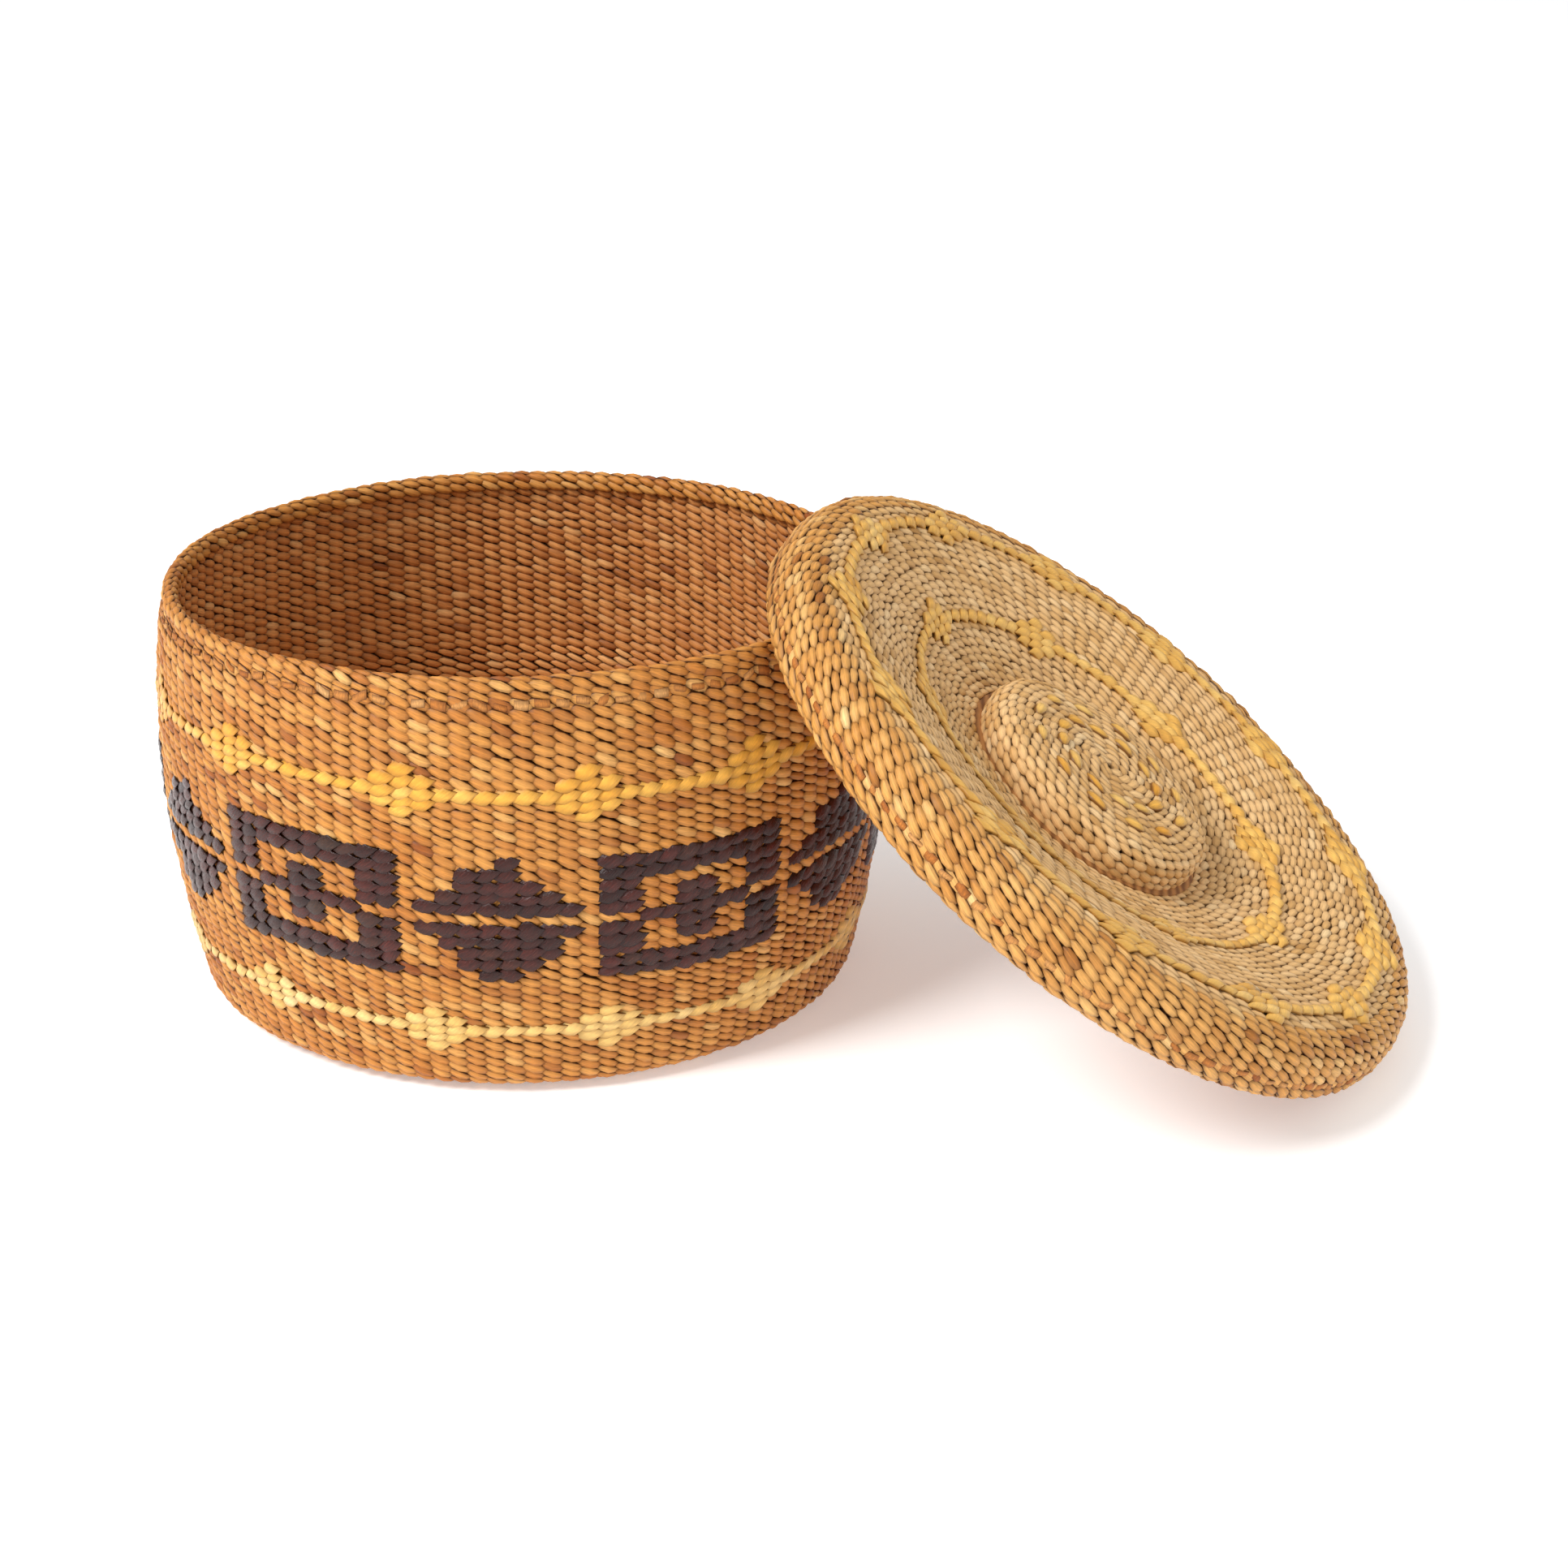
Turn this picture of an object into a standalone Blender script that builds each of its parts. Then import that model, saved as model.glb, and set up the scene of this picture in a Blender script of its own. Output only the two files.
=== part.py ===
"""Twined storage basket with a separate lid, overlaid bands and a hollow knob.

Frame: metres, +Z up, origin at the centre of the base on the surface the basket
stands on.  The lid is shown taken off: its lower edge stands on that surface and
its hollow side leans on the basket's rim, on the +X side.
"""
import math

import bmesh
import bpy
from mathutils import Matrix, Vector

# ---- overall sizes ---------------------------------------------------------
RIM_R = 0.095          # outer radius of the rim braid
HEIGHT = 0.113         # top of the rim braid above the surface
# ---- wall shape ------------------------------------------------------------
BELLY_OUT = 0.003      # belly radius beyond the rim radius
BELLY_DROP = 0.043     # height of the belly below the rim
FOOT_IN = 0.0085       # how far the wall draws in from belly to foot
HEEL_R = 0.007         # rounding between wall and base
# ---- cloth: one layer of weft each side of the warps -------------------------
FACE_T = 0.0010        # thickness of a weft face
WARP_T = 0.0007        # thickness of a warp
WARP_W = 0.0016        # width of a warp
CLEAR = 0.0003         # gap between neighbouring pieces
STRIP_T = 0.0006       # thickness of an overlaid strip
CLOTH_T = 2 * FACE_T + WARP_T + 2 * CLEAR
# ---- weave -------------------------------------------------------------------
ROW = 0.00255          # height of one weft row
WARPS = 120            # warps round the wall
BRAID_H = 0.0040       # height of the rim braid
BRAID_T = 0.0042       # thickness of the rim braid
# ---- bands on the wall ---------------------------------------------------------
UPPER_LINE_DROP = 0.0280   # upper yellow line below the rim
LOWER_LINE_RISE = 0.0205   # lower yellow line above the base
CROSSES = 13               # stepped crosses on each line
MOTIFS = 6                 # boxes, and as many diamonds, in the dark band
# ---- lid -----------------------------------------------------------------------
LID_FIT = 0.0028       # radial room between rim and flange
FLANGE_T = 0.0048      # flange thickness with its edge bulge
EDGE_T = 0.0030        # thickness of the lid's edge braid
LID_H = 0.0177         # lid edge plane to the shoulder
DISH_DEPTH = 0.0141    # shoulder down to the foot of the knob
KNOB_R = 0.035
KNOB_H = 0.0104        # knob above the dish
KNOB_WALL = 0.0018
OUTER_RING_R = 0.0870
INNER_RING_R = 0.0592
LID_CROSSES_OUTER = 13
LID_CROSSES_INNER = 8
LEAN_OVER = 0.00992    # top of the leaning lid above the rim
LEAN_AZ = math.radians(-15.0)  # direction in which it stands beside the basket
PEBBLE_R = 0.0014
STEPS = 36             # facets round a turned piece, and warps modelled
HUB_R = 0.014          # where the warps meet at the centre

COL = 2 * math.pi / WARPS
BELLY_Z = HEIGHT - BELLY_DROP
WALL_TOP = HEIGHT - BRAID_H - CLEAR
LID_R = RIM_R + LID_FIT + FLANGE_T
LEAN = math.asin((HEIGHT + LEAN_OVER) / (2 * LID_R))   # tilt of the lid where it leans
FLANGE_IN = RIM_R + LID_FIT
DISH_LOW = LID_H - DISH_DEPTH
KNOB_TOP = DISH_LOW + KNOB_H
FLOOR_R = KNOB_R + 0.0017
FLOOR_TOP = DISH_LOW
CHAMBER_MID = (FLOOR_TOP + KNOB_TOP - KNOB_WALL) / 2

for old in list(bpy.data.objects):
    bpy.data.objects.remove(old)
PARTS = bpy.data.collections.new("lidded_storage_basket")
bpy.context.scene.collection.children.link(PARTS)


def rgb(code):
    """sRGB hex to linear RGBA."""
    parts = [int(code[i:i + 2], 16) / 255 for i in (1, 3, 5)]
    return [c / 12.92 if c < 0.04045 else ((c + 0.055) / 1.055) ** 2.4 for c in parts] + [1]


def material(name, code, roughness):
    mat = bpy.data.materials.new(name)
    mat.use_nodes = True
    bsdf = mat.node_tree.nodes["Principled BSDF"]
    bsdf.inputs["Base Color"].default_value = rgb(code)
    bsdf.inputs["Roughness"].default_value = roughness
    bsdf.inputs["Metallic"].default_value = 0
    return mat


def anchor(name, place, parent=None):
    empty = bpy.data.objects.new(name, None)
    PARTS.objects.link(empty)
    empty.empty_display_size = 0.02
    empty.parent = parent
    empty.matrix_basis = place
    return empty


# ---- outlines ---------------------------------------------------------------
def wall_r(z):
    """Outer radius of the wall at height z, above the heel."""
    if z > BELLY_Z:
        return RIM_R + BELLY_OUT * (1 - ((z - BELLY_Z) / BELLY_DROP) ** 2)
    return RIM_R + BELLY_OUT - FOOT_IN * ((BELLY_Z - z) / BELLY_Z) ** 2


def wall_stations():
    """The heel's points and those above it, going up the wall's outer face."""
    base_r = wall_r(HEEL_R) - HEEL_R
    heel = [(base_r + HEEL_R * math.sin(a), HEEL_R * (1 - math.cos(a)))
            for a in (math.radians(14), math.radians(52))]
    rows = [HEEL_R + (WALL_TOP - HEEL_R) * k / 4 for k in range(5)]
    return heel, [(wall_r(z), z) for z in rows]


def lid_height(r):
    """Top face of the dish above the lid's edge plane, knob foot to shoulder."""
    u = max(0.0, min(1.0, (r - KNOB_R) / (OUTER_RING_R + 0.001 - KNOB_R)))
    return DISH_LOW + DISH_DEPTH * (0.4 * u + 0.6 * u * u * (3 - 2 * u))


def lid_stations():
    """Outer face of the lid from its edge over the shoulder to the knob's foot."""
    flange = [(LID_R - 0.0004, BRAID_H - 0.0009), (LID_R, LID_H - 0.0105), (LID_R - 0.0010, LID_H - 0.0050),
              (LID_R - 0.0040, LID_H - 0.0012), (LID_R - 0.0085, LID_H)]
    first = FLOOR_R + CLEAR
    reach_in = OUTER_RING_R - first
    dish = [OUTER_RING_R - reach_in * k / 3 for k in range(4)]
    return flange, [(r, lid_height(r)) for r in dish]


def offset(points, depth):
    """The outline moved to its left by depth, along the normal at each point."""
    moved = []
    for i, (r, z) in enumerate(points):
        a = points[max(0, i - 1)]
        b = points[min(len(points) - 1, i + 1)]
        t = Vector((b[0] - a[0], b[1] - a[1])).normalized()
        moved.append((r - depth * t.y, z + depth * t.x))
    return moved


def layer(points, top, low):
    """Closed outline of a layer between two depths under a face."""
    return offset(points, low) + offset(points, top)[::-1]


# ---- solids ------------------------------------------------------------------
def add(name, mesh, mat, parent=None):
    obj = bpy.data.objects.new(name, mesh)
    PARTS.objects.link(obj)
    mesh.materials.append(mat)
    obj.parent = parent
    mesh.shade_smooth()
    mesh.set_sharp_from_angle(angle=math.radians(35))
    return obj


def turned(name, outline, mat, parent=None, lift=0.0, solid=False):
    """An outline turned round the axis; solid when it starts and ends on the axis."""
    count = len(outline)
    edges = [(i, (i + 1) % count) for i in range(count - (1 if solid else 0))]
    mesh = bpy.data.meshes.new(name)
    mesh.from_pydata([(r, 0, z - lift) for r, z in outline], edges, [])
    obj = add(name, mesh, mat, parent)
    screw = obj.modifiers.new("turn", "SCREW")
    screw.axis = "Z"
    screw.angle = 2 * math.pi
    screw.steps = screw.render_steps = STEPS
    screw.use_merge_vertices = True
    screw.merge_threshold = 0.00001
    screw.use_smooth_shade = True
    return obj


def spokes(name, outer, inner, every, mat, parent=None, lift=0.0):
    """A hub disc with flat bars at the facet corners; outer and inner are their faces, hub first."""
    bm = bmesh.new()
    bmesh.ops.create_cone(bm, cap_ends=True, segments=2 * STEPS, radius1=HUB_R, radius2=HUB_R, depth=WARP_T)
    bmesh.ops.translate(bm, verts=bm.verts[:], vec=(0, 0, (outer[0][1] + inner[0][1]) / 2 - lift))
    sides = [f for f in bm.faces if len(f.verts) == 4]

    def heading(face):
        centre = face.calc_center_median()
        return math.atan2(centre.y, centre.x)

    bmesh.ops.rotate(bm, verts=bm.verts[:], cent=(0, 0, 0), matrix=Matrix.Rotation(-heading(sides[0]), 3, "Z"))
    ends = [f for f in sides if round(heading(f) * STEPS / math.pi) % (2 * every) == 0]
    for k in range(1, len(outer)):
        ends = bmesh.ops.extrude_discrete_faces(bm, faces=ends)["faces"]
        for face in ends:
            angle = heading(face)
            away = Vector((math.cos(angle), math.sin(angle), 0))
            along = Vector((-math.sin(angle), math.cos(angle), 0))
            for vert in face.verts:
                here = Vector((vert.co @ away, vert.co.z + lift))
                on_outer = (here - Vector(outer[k - 1])).length < (here - Vector(inner[k - 1])).length
                r, z = outer[k] if on_outer else inner[k]
                side_of = 1 if vert.co @ along > 0 else -1
                vert.co = away * r + along * side_of * WARP_W / 2 + Vector((0, 0, z - lift))
    return finish(name, bm, mat, parent)


def charted(name, columns, rows, filled, place, mat, parent=None, closed=False):
    """Strips of overlay as one sheet: the filled cells of a chart laid on a surface."""
    bm = bmesh.new()
    across, tall = len(columns) - 1, len(rows) - 1
    bmesh.ops.create_grid(bm, x_segments=across, y_segments=tall, size=1)
    xs = sorted({round(v.co.x, 4) for v in bm.verts})
    ys = sorted({round(v.co.y, 4) for v in bm.verts})
    blank = []
    for face in bm.faces:
        column = min(xs.index(round(v.co.x, 4)) for v in face.verts)
        row = min(ys.index(round(v.co.y, 4)) for v in face.verts)
        if not filled(columns[column], columns[column + 1], rows[row], rows[row + 1]):
            blank.append(face)
    bmesh.ops.delete(bm, geom=blank, context="FACES")
    for vert in bm.verts:
        vert.co = place(columns[xs.index(round(vert.co.x, 4))], rows[ys.index(round(vert.co.y, 4))])
    if closed:
        bmesh.ops.remove_doubles(bm, verts=bm.verts[:], dist=0.00001)
    mesh = bpy.data.meshes.new(name)
    bm.to_mesh(mesh)
    bm.free()
    obj = add(name, mesh, mat, parent)
    solid = obj.modifiers.new("strip", "SOLIDIFY")
    solid.thickness = STRIP_T
    solid.offset = 1
    return obj


def finish(name, bm, mat, parent=None):
    bmesh.ops.recalc_face_normals(bm, faces=bm.faces[:])
    mesh = bpy.data.meshes.new(name)
    bm.to_mesh(mesh)
    bm.free()
    return add(name, mesh, mat, parent)


# ---- materials -----------------------------------------------------------------
ROOT_OUT = material("split_root_tan", "#C08A4C", 0.62)
ROOT_IN = material("split_root_brown", "#9C6A34", 0.66)
ROOT_DUSTY = material("split_root_dusty", "#C2A070", 0.70)
ROOT_WARP = material("root_warp", "#A9783F", 0.70)
ROOT_ACCENT = material("split_root_rust", "#B9702F", 0.58)
GRASS_YELLOW = material("dyed_grass_yellow", "#E8B04A", 0.48)
GRASS_PALE = material("dyed_grass_pale_yellow", "#E9C173", 0.50)
GRASS_DARK = material("dyed_grass_dark_brown", "#3B2421", 0.36)
PEBBLE = material("grey_pebble", "#7E7A72", 0.75)

# ---- basket --------------------------------------------------------------------
heel, wall = wall_stations()
low = FACE_T + WARP_T + 2 * CLEAR
turned("wall_weft_outer", layer(heel + wall, 0, FACE_T), ROOT_OUT)
turned("wall_weft_inner", layer(heel + wall, low, CLOTH_T), ROOT_IN)
path = [(HUB_R, 0), (heel[0][0] - 0.0035, 0)] + heel + wall
spokes("basket_warps", offset(path, FACE_T + CLEAR), offset(path, low - CLEAR), 1, ROOT_WARP)

base_r = heel[0][0] - 0.0008
turned("base_weft_outer", [(0, FACE_T), (base_r, FACE_T), (base_r, 0), (0, 0)], ROOT_OUT, solid=True)
turned("base_weft_inner", [(0, CLOTH_T), (base_r - 0.0020, CLOTH_T), (base_r - 0.0012, low), (0, low)],
       ROOT_IN, solid=True)

rim_in = RIM_R - BRAID_T
rim_mid = HEIGHT - BRAID_H / 2
turned("rim_braid", [(RIM_R - 0.0012, HEIGHT - 0.0002), (RIM_R, rim_mid), (RIM_R - 0.0006, HEIGHT - BRAID_H),
                     (rim_in + 0.0006, HEIGHT - BRAID_H), (rim_in, rim_mid),
                     (rim_in + 0.0012, HEIGHT - 0.0002)], ROOT_OUT)


def on_wall(angle, z):
    r = wall_r(z) + CLEAR
    return Vector((r * math.cos(angle), r * math.sin(angle), z))


accent_top = WALL_TOP - CLEAR
accent_low = accent_top - ROW
accent_r = wall_r(accent_top) + CLEAR
turned("accent_row", [(accent_r + STRIP_T, accent_top), (wall_r(accent_low) + CLEAR + STRIP_T, accent_low),
                      (wall_r(accent_low) + CLEAR, accent_low), (accent_r, accent_top)], ROOT_ACCENT)


def crossed(crosses, turn, wide):
    """Columns of a ring with stepped crosses, and which cells of it are filled."""
    period = 2 * math.pi / crosses
    columns = []
    for k in range(crosses):
        middle = turn + k * period
        columns += [middle + s * wide for s in (-1.5, -0.5, 0.5, 1.5)]
        columns += [middle + 1.5 * wide + (period - 3 * wide) * s / 3 for s in (1, 2)]
    columns.append(columns[0] + 2 * math.pi)

    def filled(left, right, below, above):
        column = abs(((left + right) / 2 - turn + period / 2) % period - period / 2) / wide
        row = abs(below + above) / 2
        return row < 0.9 or (row < 1.9 and column < 1.2) or column < 0.2

    return columns, [-2.5, -1.5, -0.5, 0.5, 1.5, 2.5], filled


def crossed_line(name, mid, mat, turn):
    """A one-row line round the wall with stepped crosses above and below it."""
    columns, rows, filled = crossed(CROSSES, turn, COL)
    charted(name, columns, rows, filled, lambda a, row: on_wall(a, mid + row * ROW), mat, closed=True)


upper_z = HEIGHT - UPPER_LINE_DROP
crossed_line("upper_yellow_band", upper_z, GRASS_YELLOW, math.radians(-104))
crossed_line("lower_yellow_band", LOWER_LINE_RISE, GRASS_PALE, math.radians(-101))

motif_z = (upper_z + LOWER_LINE_RISE) / 2
BOX = ([-5, -3, -1, 1, 3, 5], [0.5, 4.5, 6.5], lambda x, row: row > 4.5 or abs(x) > 3)
DIAMOND = ([-4, -3, -2, -1, 1, 2, 3, 4], [0.5, 2.5, 4.5, 5.5, 6.5],
           lambda x, row: abs(x) < (4 if row < 2.5 else 3 if row < 4.5 else 2 if row < 5.5 else 1))
CROSS = ([-3, -1, 1, 3], [-3.5, -0.5, 0.5, 3.5], lambda x, row: abs(x) < 1 or abs(row) < 0.5)


def motif(name, chart, middle, flip=1):
    """One dark motif, its rows counted up (or down) from the middle row of the band."""
    columns, rows, inside = chart
    rows = rows if flip > 0 else [-row for row in rows][::-1]
    charted(name, columns, rows, lambda a, b, c, d: inside((a + b) / 2, abs(c + d) / 2),
            lambda x, row: on_wall(middle + x * COL, motif_z + row * ROW), GRASS_DARK)


for k in range(MOTIFS):
    box_at = math.radians(-119.5) + 2 * math.pi * k / MOTIFS
    for part, flip in (("upper", 1), ("lower", -1)):
        motif(f"dark_box_{part}_{k + 1}", BOX, box_at, flip)
        motif(f"dark_diamond_{part}_{k + 1}", DIAMOND, box_at + math.pi / MOTIFS, flip)
    motif(f"dark_cross_{k + 1}", CROSS, box_at)


# ---- where the lid leans and how it is put on ---------------------------------------
def lid_point(radius, height, angle, reach):
    """(radial, sideways, up) of a point of the leaning lid standing reach from the axis."""
    x, y = radius * math.cos(angle), radius * math.sin(angle)
    up = (FLANGE_IN + EDGE_T * 0.72) * math.sin(LEAN) + CLEAR
    return (reach + x * math.cos(LEAN) + height * math.sin(LEAN), y,
            up - x * math.sin(LEAN) + height * math.cos(LEAN))


def rim_gap(reach):
    """Smallest distance between the lid's edge braid and the rim braid's middle line."""
    ring_r, ring_z = FLANGE_IN + EDGE_T / 2, EDGE_T / 2
    line_r = RIM_R - BRAID_T / 2
    least = 1.0
    for k in range(361):
        x, y, z = lid_point(ring_r, ring_z, math.pi / 2 + math.pi * k / 360, reach)
        least = min(least, math.hypot(math.hypot(x, y) - line_r, z - rim_mid))
    return least


reach_low, reach_high = RIM_R, RIM_R + 1.4 * LID_R
for _ in range(40):
    reach = (reach_low + reach_high) / 2
    if rim_gap(reach) < BRAID_H / 2 + EDGE_T / 2 + CLEAR:
        reach_low = reach
    else:
        reach_high = reach
knob_mid = lid_point(0, CHAMBER_MID, 0, reach)
closed_up = HEIGHT + CLEAR - (LID_H - CLOTH_T - 0.0008)
knob_closed_z = closed_up + CHAMBER_MID
# pole of the swing: as far from the chamber leaning as from the chamber closed,
# and a little above the closed one, so that the lid comes down straight
POLE_RISE = 0.0085
pole_z = knob_closed_z + POLE_RISE
dz = knob_mid[2] - pole_z
pole_r = (knob_mid[0] ** 2 + dz ** 2 - POLE_RISE ** 2) / (2 * knob_mid[0])
start_angle = math.atan2(dz, knob_mid[0] - pole_r)
end_angle = math.atan2(-POLE_RISE, -pole_r) % (2 * math.pi)
SWING = end_angle - start_angle
LEVEL_RATIO = -(SWING - LEAN) / SWING
out = Vector((math.cos(LEAN_AZ), math.sin(LEAN_AZ), 0))
print("lid reach", round(reach, 5),
      "chamber", [round(v, 5) for v in out * knob_mid[0] + Vector((0, 0, knob_mid[2]))],
      "pole", [round(v, 5) for v in out * pole_r + Vector((0, 0, pole_z))],
      "axis", [round(v, 6) for v in (math.sin(LEAN_AZ), -math.cos(LEAN_AZ))],
      "swing deg", round(math.degrees(SWING), 3), "ratio", round(LEVEL_RATIO, 6))

turn_out = Matrix.Rotation(LEAN_AZ, 4, "Z")
swing_pole = anchor("swing_pole", Matrix.Translation(out * pole_r + Vector((0, 0, pole_z))) @ turn_out)
lid_frame = anchor("lid_frame", Matrix.Translation(out * knob_mid[0] + Vector((0, 0, knob_mid[2])))
                   @ turn_out @ Matrix.Rotation(LEAN, 4, "Y"))

# ---- lid ---------------------------------------------------------------------------
LIFT = CHAMBER_MID
flange, dish = lid_stations()
turned("lid_weft_outer", layer(flange + dish, 0, FACE_T), ROOT_DUSTY, lid_frame, LIFT)
under = flange + dish + [(HUB_R, DISH_LOW)]
turned("lid_weft_inner", [(0, DISH_LOW - low)] + offset(under, low)[::-1] + offset(under, CLOTH_T)
       + [(0, DISH_LOW - CLOTH_T)], ROOT_IN, lid_frame, LIFT, solid=True)
spokes("lid_warps", offset(under, FACE_T + CLEAR)[::-1], offset(under, low - CLEAR)[::-1], 2,
       ROOT_WARP, lid_frame, LIFT)
edge_out = FLANGE_IN + EDGE_T
turned("lid_edge_braid", [(LID_R - 0.0013, BRAID_H - 0.0012), (edge_out + 0.0002, BRAID_H / 2),
                          (edge_out - 0.0008, 0), (FLANGE_IN + 0.0008, 0), (FLANGE_IN, BRAID_H / 2),
                          (FLANGE_IN + 0.0006, BRAID_H - 0.0012)], ROOT_OUT, lid_frame, LIFT)
turned("lid_accent_row", [(LID_R + CLEAR + STRIP_T, 0.0048 + ROW), (LID_R - 0.0002 + CLEAR + STRIP_T, 0.0048),
                          (LID_R - 0.0002 + CLEAR, 0.0048), (LID_R + CLEAR, 0.0048 + ROW)],
       ROOT_ACCENT, lid_frame, LIFT)


def ringed_line(name, radius, crosses, turn, mat):
    """A one-row ring on the lid with stepped crosses inside and outside it."""
    columns, rows, filled = crossed(crosses, turn, 0.005 / radius)

    def place(angle, row):
        r = radius - row * ROW
        return Vector((r * math.cos(angle), r * math.sin(angle), lid_height(r) + CLEAR + 0.0002 - LIFT))

    charted(name, columns, rows, filled, place, mat, lid_frame, closed=True)


ringed_line("lid_outer_yellow_ring", OUTER_RING_R, LID_CROSSES_OUTER, math.radians(7), GRASS_YELLOW)
ringed_line("lid_inner_yellow_ring", INNER_RING_R, LID_CROSSES_INNER, math.radians(-10), GRASS_YELLOW)

knob_face = [(0, KNOB_TOP), (KNOB_R * 0.60, KNOB_TOP - 0.0002), (KNOB_R * 0.88, KNOB_TOP - 0.0010),
             (KNOB_R, KNOB_TOP - 0.0036), (KNOB_R - 0.0003, FLOOR_TOP + CLEAR)]
knob_low = [(KNOB_R - KNOB_WALL - 0.0003, FLOOR_TOP + CLEAR), (KNOB_R - KNOB_WALL, KNOB_TOP - 0.0046),
            (KNOB_R * 0.84, KNOB_TOP - KNOB_WALL - 0.0008), (0, KNOB_TOP - KNOB_WALL)]
turned("knob_cap", knob_face + knob_low, ROOT_DUSTY, lid_frame, LIFT, solid=True)
turned("knob_floor", [(0, FLOOR_TOP), (FLOOR_R, FLOOR_TOP), (FLOOR_R, FLOOR_TOP - FACE_T),
                      (0, FLOOR_TOP - FACE_T)],
       ROOT_IN, lid_frame, LIFT, solid=True)
for name, radius in (("knob_flecks_inner", 0.0150), ("knob_flecks_outer", 0.0190)):
    z0 = KNOB_TOP + CLEAR
    turned(name, [(radius + 0.0011, z0 + STRIP_T), (radius + 0.0011, z0), (radius - 0.0011, z0),
                  (radius - 0.0011, z0 + STRIP_T)], GRASS_YELLOW, lid_frame, LIFT)

# ---- pebbles in the knob's chamber -----------------------------------------------------
here = swing_pole.matrix_basis.inverted() @ lid_frame.matrix_basis
corners = ((1, 1, 1), (1, -1, -1), (-1, 1, -1), (-1, -1, 1))
for k, corner in enumerate(corners):
    bm = bmesh.new()
    bmesh.ops.create_icosphere(bm, subdivisions=1, radius=PEBBLE_R,
                               matrix=here @ Matrix.Translation(Vector(corner).normalized() * PEBBLE_R * 1.5)
                               @ Matrix.Scale(0.86, 4, (0, 0, 1)))
    finish(f"rattle_pebble_{k + 1}", bm, PEBBLE, swing_pole)
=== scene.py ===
# %% [markdown]
# # A twined basket with its lid leaning beside it
#
# The real thing is woven by hand. Thin flat *warps* run from the middle of the base up to the rim.
# Two *weft* strands of split root go round them, crossing between each pair of warps, so every warp
# is covered by one short leaf-shaped stitch outside and another inside. Coloured grass is wrapped
# over some outside stitches, which is called false embroidery. The lid is made the same way.
#
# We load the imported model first. It stays as the measure that everything else is laid on.

# %% load the frame
import bpy
import bmesh
import math
import numpy as np
from mathutils import Matrix, Vector


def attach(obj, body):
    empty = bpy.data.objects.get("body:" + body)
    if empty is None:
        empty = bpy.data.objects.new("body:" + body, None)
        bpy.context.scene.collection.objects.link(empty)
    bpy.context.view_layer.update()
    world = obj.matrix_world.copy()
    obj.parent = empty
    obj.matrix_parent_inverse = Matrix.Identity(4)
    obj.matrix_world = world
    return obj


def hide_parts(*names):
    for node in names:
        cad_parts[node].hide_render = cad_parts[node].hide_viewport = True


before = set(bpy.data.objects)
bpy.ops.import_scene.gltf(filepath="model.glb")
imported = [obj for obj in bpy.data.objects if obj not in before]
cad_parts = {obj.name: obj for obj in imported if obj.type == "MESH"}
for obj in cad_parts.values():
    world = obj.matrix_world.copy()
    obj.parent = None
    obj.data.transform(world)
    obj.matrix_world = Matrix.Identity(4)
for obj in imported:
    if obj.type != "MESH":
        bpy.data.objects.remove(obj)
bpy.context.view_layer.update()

# %% [markdown]
# ## Camera
#
# A camera could be placed with an empty as its target. Here its tilt and place are written straight
# into its matrix, which leaves no helper behind. A long lens from three quarters of a metre away
# keeps the basket's sides nearly parallel.

# %% camera
camera = bpy.data.objects.new("camera", bpy.data.cameras.new("camera"))
bpy.context.scene.collection.objects.link(camera)
bpy.context.scene.camera = camera
camera.data.sensor_width = 36.0
camera.data.lens = 64.02
camera.matrix_world = (Matrix.Translation((0.0710, -0.7198, 0.3351))
                       @ Matrix.Rotation(math.radians(68.31), 4, "X")
                       @ Matrix.Rotation(math.radians(0.23), 4, "Z"))
print("camera lens", camera.data.lens)

# %% [markdown]
# ## Colours and nodes
#
# Colours are written as the hex codes that a paint program shows, so one function turns them into
# the linear values that the shader works with. A second small function adds a node, sets its
# values and makes its links. Every finish below is built from those two.


# %% colour and node helpers
def paint(code):
    parts = [int(code[i:i + 2], 16) / 255 for i in (1, 3, 5)]
    return [c / 12.92 if c < 0.04045 else ((c + 0.055) / 1.055) ** 2.4 for c in parts] + [1.0]


def node(mat, kind, links=None, values=None, **settings):
    """Adds a node: settings are its properties, values its socket values, links what feeds them."""
    made = mat.node_tree.nodes.new(kind)
    for key, value in settings.items():
        setattr(made, key, value)
    for key, value in (values or {}).items():
        made.inputs[key].default_value = value
    for key, output in (links or {}).items():
        mat.node_tree.links.new(output, made.inputs[key])
    return made


# %% [markdown]
# ## Split root and dyed grass
#
# **Split root** is a spruce root, peeled and split lengthwise. It is flat, a little glossy along its
# fibres, and goes from honey to brown with light and handling. Each stitch comes from another part of
# a root, so each has its own tone. That number is stored on the mesh, and a colour ramp reads it.
# A second attribute holds a point that runs slowly along a strand and fast across it. A noise read
# there gives streaks about 0.3 mm wide that follow each strand, wherever it turns.
#
# **Dyed grass** is a flat, smooth straw. It shines more than root, and its streaks run up the stitch,
# because it is wrapped over it. Both share one recipe, and only the colours, gloss and streaks differ.


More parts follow.
